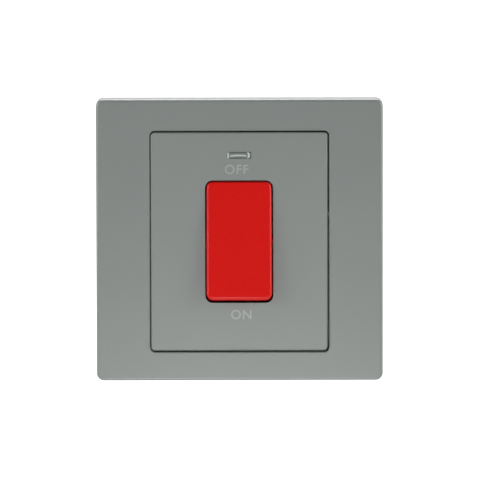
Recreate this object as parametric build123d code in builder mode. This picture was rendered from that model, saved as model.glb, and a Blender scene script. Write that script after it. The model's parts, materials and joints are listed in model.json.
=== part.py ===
from build123d import *
from math import cos, radians, sin, tan
import os

os.makedirs("parts", exist_ok=True)

# Directions: X to the right, Z up, +Y into the wall. The wall surface is Y = 0 and the room is at -Y.
# All sizes are in millimetres.

# Outer surround
plate_width = 86.0
plate_height = 84.7
plate_projection = 8.2
plate_corner = 2.3
plate_wall = 2.0
plate_edge_round = 0.8
plate_draft = 1.0
# The surround sits a little higher than the fascia that it frames
plate_rise = 0.45
# and it is clipped on slightly to the right, so the left seam is the narrower one
plate_shift = 0.12
stiffener_thickness = 1.0
stiffener_depth = 2.6
stiffener_x = (-12.0, 12.0)
stiffener_z = (-11.0, 11.0)
pry_notch_width = 9.0
pry_notch_depth = 1.3
window_width = 53.7
window_height = 66.4
window_corner = 1.5
window_lip = 1.0
window_lip_wall = 1.1

# Fascia and mounting flange
fascia_width = 52.8
fascia_height = 65.5
fascia_corner = 1.15
fascia_wall = 2.0
fascia_edge_break = 0.3
flange_width = 78.0
flange_height = 77.0
flange_thickness = 2.2
flange_corner = 3.0
fixing_spacing = 60.3
fixing_slot_length = 6.0
fixing_slot_width = 4.0
nib_height = 0.9
nib_rise = 8.3

# Clips that hold the surround on the flange
clip_pitch = 22.0
clip_width = 7.0
clip_thickness = 1.2
clip_gap = 0.15
clip_barb = 0.8
rebate_depth = 1.2
rebate_height = 0.95

# Rocker
aperture_width = 20.4
aperture_height = 36.8
aperture_corner = 2.3
pivot_y = -4.0
rocker_swing = 11.0
rocker_face_width = 19.4
rocker_face_height = 35.4
rocker_back_width = 19.95
rocker_back_height = 36.8
rocker_corner = 2.1
rocker_face = 6.3
rocker_belly = 2.2
rocker_rim = 1.4
rocker_belly_half = 3.2
rocker_wall = 1.5
rocker_edge_round = 0.85
trunnion_radius = 1.5
trunnion_reach = 12.3
bearing_radius = 1.56
bearing_slot = 2.6
bearing_x = 10.6
bearing_thickness = 2.0
bearing_half = 3.0

# Spring towers, springs and plungers
pole_x = 5.5
tower_radius = 2.5
tower_bore = 1.65
tower_end = 7.2
bore_floor = 4.2
plunger_radius = 1.6
plunger_tip = 12.0
plunger_shoulder = 4.0
plunger_spigot_radius = 0.85
plunger_spigot = 1.6
spring_radius = 1.2
wire_radius = 0.2
spring_turns = 5
# Thin wires have a polygon for their section, which keeps their long surfaces light
wire_sides = 4

# Contact arms, rocking on a knife edge
arm_swing = 12.0
knife_y = 9.35
knife_radius = 0.34
arm_gap = 0.03
arm_thickness = 0.9
arm_width = 6.4
arm_tail = 4.5
arm_reach = 17.4
arm_nose_width = 5.0
arm_notch_depth = 0.9
arm_notch_half = 1.25
tip_reach = 15.5
tip_radius = 2.0
tip_thickness = 0.95
tip_dome = 8.0
rivet_radius = 0.9
rivet_hole = 0.95

# Conductor strips
strip_y = 12.65
strip_thickness = 1.0
fixed_tip_y = 11.66
strip_pad_half = 3.2
strip_bridge = 2.7
ear_thickness = 0.75
ear_half = 0.9
ear_y = 7.95
lead_lug_reach = 12.7

# Terminals
terminal_x = 12.5
terminal_z = 23.4
terminal_width = 8.0
terminal_length = 9.6
terminal_back_y = 21.4
cable_bore = 2.3
cable_y = 16.75
# Screw shanks are drawn at the core of their thread
screw_core = 1.55
screw_hole = 1.8
screw_tip_y = 19.3
screw_length = 5.0
screw_head_radius = 2.6
screw_head = 1.6
screw_slot_width = 0.9
screw_slot_depth = 0.8

# Rear housing
housing_width = 48.4
housing_height = 61.1
housing_corner = 1.4
housing_wall = 1.8
housing_edge_break = 0.8
housing_front_y = -2.0
housing_back_y = 24.5
barrier_thickness = 1.6
barrier_front_y = 6.5
cell_rib = 1.2
cell_front_y = 14.0
chimney_radius = 4.0
chimney_bore = 2.9
chimney_back_y = 26.5
cable_entry = 2.9
fixing_x = 20.0
fixing_z = 26.2
post_half = 3.1
boss_radius = 2.5
fixing_hole = 1.25
fixing_pilot = 1.05
fixing_core = 0.85
fixing_head_radius = 2.1
fixing_head = 1.5
fixing_cross_length = 2.2
fixing_cross_width = 0.6
fixing_cross_depth = 0.8
fixing_counterbore = 2.3
fixing_seat_y = 11.0
fixing_tip_y = -5.4

# Indicator
lens_z = 25.9
lens_width = 7.2
lens_height = 2.0
lens_corner = 0.5
lens_fit = 0.05
lens_front_y = -8.3
lens_flange_width = 8.6
lens_flange_height = 4.2
lens_back_y = -5.4
lamp_y = -3.2
lamp_radius = 1.9
lamp_left_x = -7.0
lamp_right_x = 5.6
lamp_pinch = 2.0
cradle_x = (-5.8, 4.5)
cradle_thickness = 1.0
cradle_half = 2.7
cradle_back_y = -2.6
cradle_bore = 1.95
lead_radius = 0.25
lead_spread = 0.6
resistor_length = 5.6
resistor_radius = 1.0
resistor_cap_radius = 1.2
resistor_cap = 1.2

# Places worked out from the sizes above
fascia_front_y = -plate_projection
fascia_back_y = fascia_front_y + fascia_wall
arm_back = knife_radius + arm_gap
rocker_tilt = rocker_swing / 2
arm_tilt = arm_swing / 2
fixed_tip_z = tip_reach * cos(radians(arm_tilt))


def facing_room(y):
    """Plane parallel to the wall at the depth y, with its normal towards the room and Z upwards."""
    return Plane(origin=(0, y, 0), x_dir=(1, 0, 0), z_dir=(0, -1, 0))


# The rocker rests with its top pressed in, so its planes lean back by half the swing
rocker_front = Plane(
    origin=(0, pivot_y, 0),
    x_dir=(1, 0, 0),
    z_dir=(0, -cos(radians(rocker_tilt)), sin(radians(rocker_tilt))),
)
rocker_side = Plane(
    origin=(0, pivot_y, 0),
    x_dir=(0, cos(radians(rocker_tilt)), -sin(radians(rocker_tilt))),
    z_dir=(1, 0, 0),
)

# A contact arm rests with its long upper end tipped forward, off the fixed contact
arm_front_plane = Plane(
    origin=(0, knife_y, 0),
    x_dir=(1, 0, 0),
    z_dir=(0, -cos(radians(arm_tilt)), -sin(radians(arm_tilt))),
)

sides = {"left": -1, "right": 1}


# Outer surround: a drafted tray, open at the back, with a window and four clip fingers
with BuildPart() as outer_frame:
    with BuildSketch(facing_room(0)):
        with Locations((plate_shift, plate_rise)):
            RectangleRounded(plate_width, plate_height, plate_corner)
    extrude(amount=plate_projection, taper=plate_draft)
    fillet(outer_frame.faces().sort_by(Axis.Y)[0].edges(), plate_edge_round)
    with BuildSketch(facing_room(0)):
        with Locations((plate_shift, plate_rise)):
            Rectangle(plate_width - 2 * plate_wall, plate_height - 2 * plate_wall)
    extrude(amount=plate_projection - plate_wall, taper=plate_draft, mode=Mode.SUBTRACT)
    with BuildSketch(facing_room(fascia_back_y + window_lip)):
        with Locations((plate_shift, 0)):
            RectangleRounded(
                window_width + 2 * window_lip_wall,
                window_height + 2 * window_lip_wall,
                window_corner + window_lip_wall,
            )
    extrude(amount=window_lip)
    # Stiffening ribs run from the window lip to the outer walls, in front of the flange
    with BuildSketch(facing_room(fascia_back_y + stiffener_depth)):
        for rib_x in stiffener_x:
            with Locations((rib_x, plate_rise)):
                Rectangle(stiffener_thickness, plate_height - 2 * plate_wall + 0.4)
        for rib_z in stiffener_z:
            with Locations((plate_shift, rib_z)):
                Rectangle(plate_width - 2 * plate_wall + 0.4, stiffener_thickness)
    extrude(amount=stiffener_depth + 0.2)
    with BuildSketch(facing_room(0)):
        with Locations((plate_shift, 0)):
            RectangleRounded(window_width, window_height, window_corner)
    extrude(amount=2 * plate_projection, mode=Mode.SUBTRACT)
    # A notch in the bottom rim takes the blade that pries the surround off
    with BuildSketch(facing_room(0)):
        with Locations((plate_shift, plate_rise - plate_height / 2 + plate_wall / 2)):
            Rectangle(pry_notch_width, plate_wall + 1)
    extrude(amount=pry_notch_depth, mode=Mode.SUBTRACT)
    window_edges = outer_frame.faces().sort_by(Axis.Y)[0].inner_wires()[0].edges()
    chamfer(window_edges, fascia_edge_break)
    clip_inner = flange_height / 2 + clip_gap
    for end in (-1, 1):
        finger_z = plate_rise + end * (clip_inner + clip_thickness / 2)
        barb_z = plate_rise + end * (clip_inner - clip_barb / 2)
        with BuildSketch(facing_room(-clip_gap)):
            with Locations((clip_pitch, finger_z), (-clip_pitch, finger_z)):
                Rectangle(clip_width, clip_thickness)
        extrude(amount=plate_projection - plate_wall - clip_gap + 0.2)
        with BuildSketch(facing_room(-clip_gap)):
            with Locations((clip_pitch, barb_z), (-clip_pitch, barb_z)):
                Rectangle(clip_width, clip_barb)
        extrude(amount=rebate_height - 2 * clip_gap)
outer_frame.part.label = "outer_frame"
export_step(outer_frame.part, "parts/outer_frame.step")


# Cover plate: flange on the wall, raised hollow fascia, rocker aperture, lugs, bosses and lamp cradle
with BuildPart() as cover_plate:
    with BuildSketch(facing_room(0)):
        with Locations((0, plate_rise)):
            RectangleRounded(flange_width, flange_height, flange_corner)
    extrude(amount=flange_thickness)
    with BuildSketch(facing_room(0)):
        RectangleRounded(fascia_width, fascia_height, fascia_corner)
    extrude(amount=plate_projection)
    chamfer(cover_plate.faces().sort_by(Axis.Y)[0].edges(), fascia_edge_break)
    with BuildSketch(facing_room(0)):
        Rectangle(fascia_width - 2 * fascia_wall, fascia_height - 2 * fascia_wall)
    extrude(amount=plate_projection - fascia_wall, mode=Mode.SUBTRACT)
    with BuildSketch(facing_room(fascia_back_y + 1)):
        RectangleRounded(aperture_width, aperture_height, aperture_corner)
        with Locations((0, lens_z)):
            RectangleRounded(lens_width + 2 * lens_fit, lens_height + 2 * lens_fit, lens_corner)
    extrude(amount=2 * plate_projection, mode=Mode.SUBTRACT)
    with BuildSketch(facing_room(0)):
        with Locations((fixing_spacing / 2, 0), (-fixing_spacing / 2, 0)):
            SlotOverall(fixing_slot_length, fixing_slot_width)
    extrude(amount=2 * flange_thickness, mode=Mode.SUBTRACT)
    # Rebates in the back of the flange's top and bottom edges take the barbs of the clips
    for end in (-1, 1):
        rebate_z = plate_rise + end * (flange_height / 2 - rebate_depth / 2)
        with BuildSketch(facing_room(0)):
            with Locations((clip_pitch, rebate_z), (-clip_pitch, rebate_z)):
                Rectangle(clip_width + 2.0, rebate_depth + 0.01)
        extrude(amount=rebate_height, mode=Mode.SUBTRACT)
    # Bearing lugs with an entry slot narrower than the trunnion
    for side in (-1, 1):
        with BuildSketch(Plane.YZ.offset(side * (bearing_x + bearing_thickness / 2))):
            with Locations(((fascia_back_y - 0.3 + pivot_y + bearing_half) / 2, 0)):
                Rectangle(pivot_y + bearing_half - fascia_back_y + 0.3, 2 * bearing_half)
            with Locations((pivot_y, 0)):
                Circle(bearing_radius, mode=Mode.SUBTRACT)
            with Locations((pivot_y + bearing_half / 2, 0)):
                Rectangle(bearing_half + 0.2, bearing_slot, mode=Mode.SUBTRACT)
        extrude(amount=bearing_thickness / 2, both=True)
    # Bosses for the housing screws stand on the back of the fascia
    with BuildSketch(facing_room(housing_front_y)):
        with GridLocations(2 * fixing_x, 2 * fixing_z, 2, 2):
            Circle(boss_radius)
    extrude(amount=housing_front_y - fascia_back_y + 0.3)
    with BuildSketch(facing_room(housing_front_y)):
        with GridLocations(2 * fixing_x, 2 * fixing_z, 2, 2):
            Circle(fixing_pilot)
    extrude(amount=housing_front_y - fixing_tip_y + 0.3, mode=Mode.SUBTRACT)
    # Two ribs with round notches hold the lamp behind its lens
    for left_x in cradle_x:
        with BuildSketch(Plane.YZ.offset(left_x)):
            with Locations(((fascia_back_y - 0.3 + cradle_back_y) / 2, lens_z)):
                Rectangle(cradle_back_y - fascia_back_y + 0.3, 2 * cradle_half)
            with Locations((lamp_y, lens_z)):
                Circle(cradle_bore, mode=Mode.SUBTRACT)
        extrude(amount=cradle_thickness)
    # Centring nibs bridge the seam to the surround
    with BuildSketch(facing_room(fascia_back_y)):
        nib_reach = (window_width - 0.06) / 2
        with Locations((plate_shift, nib_rise)):
            Rectangle(2 * nib_reach, nib_height)
        Rectangle(fascia_width - 1.0, fascia_height, mode=Mode.SUBTRACT)
    extrude(amount=fascia_wall - 0.5)
cover_plate.part.label = "cover_plate"
export_step(cover_plate.part, "parts/cover_plate.step")


# Rocker: drafted shell with a bellied back edge, two trunnions, a cross rib and two spring towers
with BuildPart() as rocker:
    with BuildSketch(rocker_front.offset(-rocker_belly)):
        RectangleRounded(rocker_back_width, rocker_back_height, rocker_corner)
    with BuildSketch(rocker_front.offset(rocker_face)):
        RectangleRounded(rocker_face_width, rocker_face_height, rocker_corner)
    loft()
    half_back = rocker_back_height / 2
    with BuildSketch(rocker_side):
        with BuildLine():
            Polyline(
                (-rocker_face - 1, -half_back),
                (-rocker_rim, -half_back),
                (rocker_belly, -rocker_belly_half),
                (rocker_belly, rocker_belly_half),
                (-rocker_rim, half_back),
                (-rocker_face - 1, half_back),
                close=True,
            )
        make_face()
    extrude(amount=rocker_back_width, both=True, mode=Mode.INTERSECT)
    face_axis = Axis((0, 0, 0), rocker_front.z_dir)
    fillet(rocker.faces().sort_by(face_axis)[-1].edges(), rocker_edge_round)
    with BuildSketch(rocker_side):
        Circle(trunnion_radius)
    extrude(amount=trunnion_reach, both=True)
    with BuildSketch(rocker_front.offset(-rocker_belly - 1)):
        Rectangle(rocker_back_width - 2 * rocker_wall, rocker_back_height - 2 * rocker_wall)
    with BuildSketch(rocker_front.offset(rocker_face - rocker_wall)):
        Rectangle(rocker_face_width - 2 * rocker_wall, rocker_face_height - 2 * rocker_wall)
    loft(mode=Mode.SUBTRACT)
    with BuildSketch(rocker_front.offset(-rocker_belly + 1)):
        Rectangle(rocker_face_width - rocker_wall, 1.2)
    extrude(amount=rocker_belly - 1 + rocker_face - rocker_wall / 2)
    with BuildSketch(rocker_front.offset(-tower_end)):
        with Locations((pole_x, 0), (-pole_x, 0)):
            Circle(tower_radius)
    extrude(amount=tower_end + rocker_face - rocker_wall / 2)
    with BuildSketch(rocker_front.offset(-tower_end)):
        with Locations((pole_x, 0), (-pole_x, 0)):
            Circle(tower_bore)
    extrude(amount=tower_end + bore_floor, mode=Mode.SUBTRACT)
rocker.part.label = "rocker"
export_step(rocker.part, "parts/rocker.step")


def rocker_point(x, out):
    """Point on the middle line of the rocker's frame, `out` from the pivot towards the room."""
    return rocker_front.from_local_coords((x, 0, out))


for side, sign in sides.items():
    # Plunger: round nose, sliding shank and a spigot inside the spring
    tower_centre = rocker_point(sign * pole_x, 0)
    with BuildPart() as plunger:
        with BuildSketch(Plane(origin=tower_centre, x_dir=(1, 0, 0), z_dir=rocker_front.y_dir)):
            with BuildLine():
                nose = Line((0, plunger_tip), (0, plunger_shoulder - plunger_spigot))
                spigot_end = Line(nose @ 1, (plunger_spigot_radius, plunger_shoulder - plunger_spigot))
                spigot_wall = Line(spigot_end @ 1, (plunger_spigot_radius, plunger_shoulder))
                shoulder = Line(spigot_wall @ 1, (plunger_radius, plunger_shoulder))
                shank = Line(shoulder @ 1, (plunger_radius, plunger_tip - plunger_radius))
                CenterArc((0, plunger_tip - plunger_radius), plunger_radius, 0, 90)
            make_face()
        revolve(axis=Axis(tower_centre, rocker_front.z_dir))
    plunger.part.label = f"plunger_{side}"
    export_step(plunger.part, f"parts/plunger_{side}.step")

    # Spring: round wire from the floor of the tower to the plunger's shoulder
    spring_length = bore_floor + plunger_shoulder - 2 * wire_radius - 0.1
    with BuildPart() as spring:
        with BuildLine() as coil:
            Helix(
                pitch=spring_length / spring_turns,
                height=spring_length,
                radius=spring_radius,
                center=rocker_point(sign * pole_x, wire_radius + 0.05 - plunger_shoulder),
                direction=rocker_front.z_dir,
            )
        with BuildSketch(Plane(origin=coil.line @ 0, z_dir=coil.line % 0)):
            RegularPolygon(radius=wire_radius, side_count=wire_sides)
        sweep(is_frenet=True)
    spring.part.label = f"spring_{side}"
    export_step(spring.part, f"parts/spring_{side}.step")

    # Contact arm: flat strip with a rounded nose, waist notches for the ears and a rivet hole
    with BuildPart() as contact_arm:
        with BuildSketch(arm_front_plane.offset(arm_back)):
            with BuildLine():
                arm_x = sign * pole_x
                Polyline(
                    (arm_x - arm_width / 2, -arm_tail),
                    (arm_x + arm_width / 2, -arm_tail),
                    (arm_x + arm_width / 2, arm_notch_half + 2),
                    (arm_x + arm_nose_width / 2, tip_reach - tip_radius),
                    (arm_x + arm_nose_width / 2, arm_reach),
                    (arm_x - arm_nose_width / 2, arm_reach),
                    (arm_x - arm_nose_width / 2, tip_reach - tip_radius),
                    (arm_x - arm_width / 2, arm_notch_half + 2),
                    close=True,
                )
            make_face()
            with Locations((sign * pole_x, 0)):
                with GridLocations(arm_width, 0, 2, 1):
                    Rectangle(2 * arm_notch_depth, 2 * arm_notch_half, mode=Mode.SUBTRACT)
            with Locations((sign * pole_x, tip_reach)):
                Circle(rivet_hole, mode=Mode.SUBTRACT)
        extrude(amount=arm_thickness)
        edges_through = contact_arm.edges().filter_by(Axis((0, 0, 0), arm_front_plane.z_dir))
        fillet(edges_through.group_by(Axis.Z)[-1], 1.0)
    contact_arm.part.label = f"contact_arm_{side}"
    export_step(contact_arm.part, f"parts/contact_arm_{side}.step")

    # Moving contact: domed rivet head behind the arm, shank through it
    with BuildPart() as moving_tip:
        tip_centre = arm_front_plane.from_local_coords((sign * pole_x, tip_reach, arm_back))
        with BuildSketch(Plane(origin=tip_centre, x_dir=(1, 0, 0), z_dir=-arm_front_plane.y_dir)):
            with BuildLine():
                dome_rim = -(tip_thickness - tip_dome + (tip_dome**2 - tip_radius**2) ** 0.5)
                shank_line = Line((0, -tip_thickness), (0, arm_thickness))
                shank_end = Line(shank_line @ 1, (rivet_radius, arm_thickness))
                shank_wall = Line(shank_end @ 1, (rivet_radius, 0))
                head_face = Line(shank_wall @ 1, (tip_radius, 0))
                head_wall = Line(head_face @ 1, (tip_radius, dome_rim))
                RadiusArc(head_wall @ 1, shank_line @ 0, tip_dome)
            make_face()
        revolve(axis=Axis(tip_centre, arm_front_plane.z_dir))
    moving_tip.part.label = f"moving_tip_{side}"
    export_step(moving_tip.part, f"parts/moving_tip_{side}.step")

    # Fixed contact: flat rivet on the supply bar
    with BuildPart() as fixed_tip:
        with BuildSketch(facing_room(strip_y)):
            with Locations((sign * pole_x, fixed_tip_z)):
                Circle(tip_radius)
        extrude(amount=strip_y - fixed_tip_y)
        with BuildSketch(facing_room(strip_y)):
            with Locations((sign * pole_x, fixed_tip_z)):
                Circle(rivet_radius)
        extrude(amount=-strip_thickness)
    fixed_tip.part.label = f"fixed_tip_{side}"
    export_step(fixed_tip.part, f"parts/fixed_tip_{side}.step")

    # Supply bar: blanked strip from the fixed contact across to the upper terminal
    tab_z = terminal_z + terminal_length / 2 - 1
    bridge_top = terminal_z - terminal_length / 2 + 0.2
    with BuildPart() as supply_bar:
        with BuildSketch(facing_room(strip_y + strip_thickness)):
            with BuildLine():
                Polyline(
                    (sign * (pole_x - strip_pad_half), fixed_tip_z - strip_pad_half),
                    (sign * (pole_x + strip_pad_half), fixed_tip_z - strip_pad_half),
                    (sign * (pole_x + strip_pad_half), bridge_top - strip_bridge),
                    (sign * (terminal_x + strip_bridge), bridge_top - strip_bridge),
                    (sign * (terminal_x + strip_bridge), tab_z),
                    (sign * (terminal_x - strip_bridge), tab_z),
                    (sign * (terminal_x - strip_bridge), bridge_top),
                    (sign * (pole_x - strip_pad_half), bridge_top),
                    close=True,
                )
            make_face()
            with Locations((sign * pole_x, fixed_tip_z)):
                Circle(rivet_hole, mode=Mode.SUBTRACT)
        extrude(amount=strip_thickness)
    supply_bar.part.label = f"supply_bar_{side}"
    export_step(supply_bar.part, f"parts/supply_bar_{side}.step")

    # Load bar: strip from the lower terminal up to a folded knife edge, ears beside it and a lead lug
    with BuildPart() as load_bar:
        with BuildSketch(facing_room(strip_y + strip_thickness)):
            with BuildLine():
                Polyline(
                    (sign * (pole_x - strip_pad_half), strip_thickness / 2),
                    (sign * (pole_x + strip_pad_half), strip_thickness / 2),
                    (sign * (pole_x + strip_pad_half), -1),
                    (sign * lead_lug_reach, -1),
                    (sign * lead_lug_reach, -1 - strip_bridge),
                    (sign * (pole_x + strip_pad_half), -1 - strip_bridge),
                    (sign * (pole_x + strip_pad_half), strip_bridge - bridge_top),
                    (sign * (terminal_x + strip_bridge), strip_bridge - bridge_top),
                    (sign * (terminal_x + strip_bridge), -tab_z),
                    (sign * (terminal_x - strip_bridge), -tab_z),
                    (sign * (terminal_x - strip_bridge), -bridge_top),
                    (sign * (pole_x - strip_pad_half), -bridge_top),
                    close=True,
                )
            make_face()
        extrude(amount=strip_thickness)
        with BuildSketch(Plane.YZ.offset(sign * pole_x)):
            with BuildLine():
                edge_low = PolarLine((knife_y, 0), knife_radius, angle=-90, mode=Mode.PRIVATE)
                edge_high = PolarLine((knife_y, 0), knife_radius, angle=90, mode=Mode.PRIVATE)
                knife_arc = ThreePointArc(edge_low @ 1, (knife_y - knife_radius, 0), edge_high @ 1)
                Polyline(
                    knife_arc @ 1,
                    (knife_y + 1.5, strip_thickness / 2),
                    (strip_y, strip_thickness / 2),
                    (strip_y, -strip_thickness / 2),
                    (knife_y + 1.5, -strip_thickness / 2),
                    knife_arc @ 0,
                )
            make_face()
        extrude(amount=strip_pad_half, both=True)
        for ear in (-1, 1):
            ear_x = sign * pole_x + ear * (strip_pad_half - ear_thickness / 2)
            with BuildSketch(Plane.YZ.offset(ear_x)):
                with Locations(((ear_y + strip_y) / 2, 0)):
                    Rectangle(strip_y - ear_y, 2 * ear_half)
            extrude(amount=ear_thickness / 2, both=True)
    load_bar.part.label = f"load_bar_{side}"
    export_step(load_bar.part, f"parts/load_bar_{side}.step")

    # Each pole has a supply terminal at the top and a load terminal at the bottom
    for circuit, end in {"supply": 1, "load": -1}.items():
        # Terminal block: brass bar with a cable bore along it and a screw hole from the back
        block_front_y = strip_y + strip_thickness
        with BuildPart() as terminal_block:
            with BuildSketch(facing_room(terminal_back_y)):
                with Locations((sign * terminal_x, end * terminal_z)):
                    Rectangle(terminal_width, terminal_length)
            extrude(amount=terminal_back_y - block_front_y)
            chamfer(terminal_block.edges().filter_by(Axis.Z), 0.4)
            with BuildSketch(Plane.XY.offset(end * terminal_z)):
                with Locations((sign * terminal_x, cable_y)):
                    Circle(cable_bore)
            extrude(amount=terminal_length, both=True, mode=Mode.SUBTRACT)
            with BuildSketch(facing_room(terminal_back_y)):
                with Locations((sign * terminal_x, end * terminal_z)):
                    Circle(screw_hole)
            extrude(amount=terminal_back_y - cable_y, mode=Mode.SUBTRACT)
        terminal_block.part.label = f"terminal_block_{circuit}_{side}"
        export_step(terminal_block.part, f"parts/terminal_block_{circuit}_{side}.step")

        # Terminal screw, backed out to leave the cable bore open
        with BuildPart() as terminal_screw:
            with BuildSketch(facing_room(screw_tip_y + screw_length)):
                with Locations((sign * terminal_x, end * terminal_z)):
                    Circle(screw_core)
            extrude(amount=screw_length)
            with BuildSketch(facing_room(screw_tip_y + screw_length + screw_head)):
                with Locations((sign * terminal_x, end * terminal_z)):
                    Circle(screw_head_radius)
            extrude(amount=screw_head)
            with BuildSketch(facing_room(screw_tip_y + screw_length + screw_head)):
                with Locations((sign * terminal_x, end * terminal_z)):
                    Rectangle(2 * screw_head_radius + 1, screw_slot_width)
            extrude(amount=screw_slot_depth, mode=Mode.SUBTRACT)
        terminal_screw.part.label = f"terminal_screw_{circuit}_{side}"
        export_step(terminal_screw.part, f"parts/terminal_screw_{circuit}_{side}.step")


# Rear housing: open tray that enters the fascia, with a pole barrier, cells, pedestals and chimneys
floor_y = housing_back_y - housing_wall
with BuildPart() as rear_housing:
    with BuildSketch(facing_room(housing_back_y)):
        RectangleRounded(housing_width, housing_height, housing_corner)
    extrude(amount=housing_back_y - housing_front_y)
    chamfer(rear_housing.faces().sort_by(Axis.Y)[-1].edges(), housing_edge_break)
    with BuildSketch(facing_room(floor_y)):
        Rectangle(housing_width - 2 * housing_wall, housing_height - 2 * housing_wall)
    extrude(amount=floor_y - housing_front_y, mode=Mode.SUBTRACT)
    # The barrier between the poles stops short of the rocker's cross rib
    with BuildSketch(facing_room(floor_y)):
        Rectangle(barrier_thickness, housing_height - housing_wall)
    extrude(amount=floor_y - barrier_front_y)
    # A rib holds each terminal block on its inner side, and a corner post on its outer side
    rib_length = housing_height / 2 - housing_wall - terminal_z + terminal_length / 2 + 0.3
    rib_z = housing_height / 2 - housing_wall + 0.3 - rib_length / 2
    rib_offset = terminal_width / 2 + 0.15 + cell_rib / 2
    with BuildSketch(facing_room(floor_y)):
        for end in (-1, 1):
            for sign in sides.values():
                with Locations((sign * (terminal_x - rib_offset), end * rib_z)):
                    Rectangle(cell_rib, rib_length)
    extrude(amount=floor_y - cell_front_y)
    # Pedestals carry the fixed contacts and the knife edges
    with BuildSketch(facing_room(floor_y)):
        with Locations((pole_x, fixed_tip_z), (-pole_x, fixed_tip_z)):
            Rectangle(2 * strip_pad_half - 1.6, 2 * strip_pad_half - 1.6)
        with Locations((pole_x, -2), (-pole_x, -2)):
            Rectangle(2 * strip_pad_half - 1.6, 5)
    extrude(amount=floor_y - strip_y - strip_thickness - 0.02)
    # Corner posts for the screws, and chimneys behind the terminals
    with BuildSketch(facing_room(floor_y)):
        with GridLocations(2 * fixing_x, 2 * fixing_z, 2, 2):
            Rectangle(2 * post_half, 2 * post_half)
    extrude(amount=floor_y - housing_front_y - 0.02)
    with BuildSketch(facing_room(floor_y)):
        with GridLocations(2 * terminal_x, 2 * terminal_z, 2, 2):
            Rectangle(terminal_width - 1, terminal_length - 1)
    extrude(amount=floor_y - terminal_back_y - 0.02)
    with BuildSketch(facing_room(chimney_back_y)):
        with GridLocations(2 * terminal_x, 2 * terminal_z, 2, 2):
            Circle(chimney_radius)
    extrude(amount=chimney_back_y - floor_y)
    with BuildSketch(facing_room(chimney_back_y)):
        with GridLocations(2 * terminal_x, 2 * terminal_z, 2, 2):
            Circle(chimney_bore)
    extrude(amount=chimney_back_y - terminal_back_y + 0.2, mode=Mode.SUBTRACT)
    with BuildSketch(facing_room(housing_back_y)):
        with GridLocations(2 * fixing_x, 2 * fixing_z, 2, 2):
            Circle(fixing_hole)
    extrude(amount=housing_back_y - housing_front_y, mode=Mode.SUBTRACT)
    with BuildSketch(facing_room(housing_back_y)):
        with GridLocations(2 * fixing_x, 2 * fixing_z, 2, 2):
            Circle(fixing_counterbore)
    extrude(amount=housing_back_y - fixing_seat_y, mode=Mode.SUBTRACT)
    # Cables enter through notches in the top and bottom walls, which are open at the back
    entry_inner = terminal_z + terminal_length / 2 + 0.1
    notch_length = housing_height / 2 - entry_inner + 1
    with BuildSketch(facing_room(housing_back_y)):
        with GridLocations(2 * terminal_x, 2 * entry_inner + notch_length, 2, 2):
            Rectangle(2 * cable_entry, notch_length)
    extrude(amount=housing_back_y - cable_y + cable_entry, mode=Mode.SUBTRACT)
rear_housing.part.label = "rear_housing"
export_step(rear_housing.part, "parts/rear_housing.step")


# Four screws clamp the housing to the bosses behind the fascia
with BuildPart() as housing_screws:
    with BuildSketch(facing_room(fixing_seat_y)):
        with GridLocations(2 * fixing_x, 2 * fixing_z, 2, 2):
            Circle(fixing_core)
    extrude(amount=fixing_seat_y - fixing_tip_y)
    with BuildSketch(facing_room(fixing_seat_y + fixing_head)):
        with GridLocations(2 * fixing_x, 2 * fixing_z, 2, 2):
            Circle(fixing_head_radius)
    extrude(amount=fixing_head)
    for angle in (0, 90):
        with BuildSketch(facing_room(fixing_seat_y + fixing_head)):
            with GridLocations(2 * fixing_x, 2 * fixing_z, 2, 2):
                Rectangle(fixing_cross_length, fixing_cross_width, rotation=angle)
        extrude(amount=fixing_cross_depth, mode=Mode.SUBTRACT)
housing_screws.part.label = "housing_screws"
export_step(housing_screws.part, "parts/housing_screws.step")


# Indicator lens: narrow window through the fascia with a flange behind it
with BuildPart() as neon_lens:
    with BuildSketch(facing_room(lens_back_y)):
        with Locations((0, lens_z)):
            RectangleRounded(lens_width, lens_height, lens_corner - lens_fit)
    extrude(amount=lens_back_y - lens_front_y)
    chamfer(neon_lens.faces().sort_by(Axis.Y)[0].edges(), 0.25)
    with BuildSketch(facing_room(lens_back_y)):
        with Locations((0, lens_z)):
            Rectangle(lens_flange_width, lens_flange_height)
    extrude(amount=lens_back_y - fascia_back_y - 0.02)
neon_lens.part.label = "neon_lens"
export_step(neon_lens.part, "parts/neon_lens.step")


# Neon lamp: glass tube with a round end and a pinched seal
lamp_axis_plane = Plane(origin=(0, lamp_y, lens_z), x_dir=(1, 0, 0), z_dir=(0, -1, 0))
with BuildPart() as neon_lamp:
    with BuildSketch(lamp_axis_plane):
        with BuildLine():
            lamp_line = Line((lamp_right_x, 0), (lamp_left_x, 0))
            CenterArc((lamp_left_x + lamp_radius, 0), lamp_radius, 90, 90)
            glass = Line((lamp_left_x + lamp_radius, lamp_radius), (lamp_right_x - lamp_pinch, lamp_radius))
            neck = Line(glass @ 1, (lamp_right_x, 0.55 * lamp_radius))
            Line(neck @ 1, lamp_line @ 0)
        make_face()
    revolve(axis=Axis((0, lamp_y, lens_z), (1, 0, 0)))
neon_lamp.part.label = "neon_lamp"
export_step(neon_lamp.part, "parts/neon_lamp.step")


def lead_route(points):
    """Straight runs joined by tangent arcs, each as large as the shorter of its two runs allows."""
    runs = [Vector(*end) - Vector(*start) for start, end in zip(points, points[1:])]
    radii = []
    for before, after in zip(runs, runs[1:]):
        half_turn = radians(before.get_angle(after) / 2)
        radii.append(0.45 * min(before.length, after.length) / tan(half_turn))
    print("bend radii", [round(radius, 2) for radius in radii])
    return radii


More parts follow.
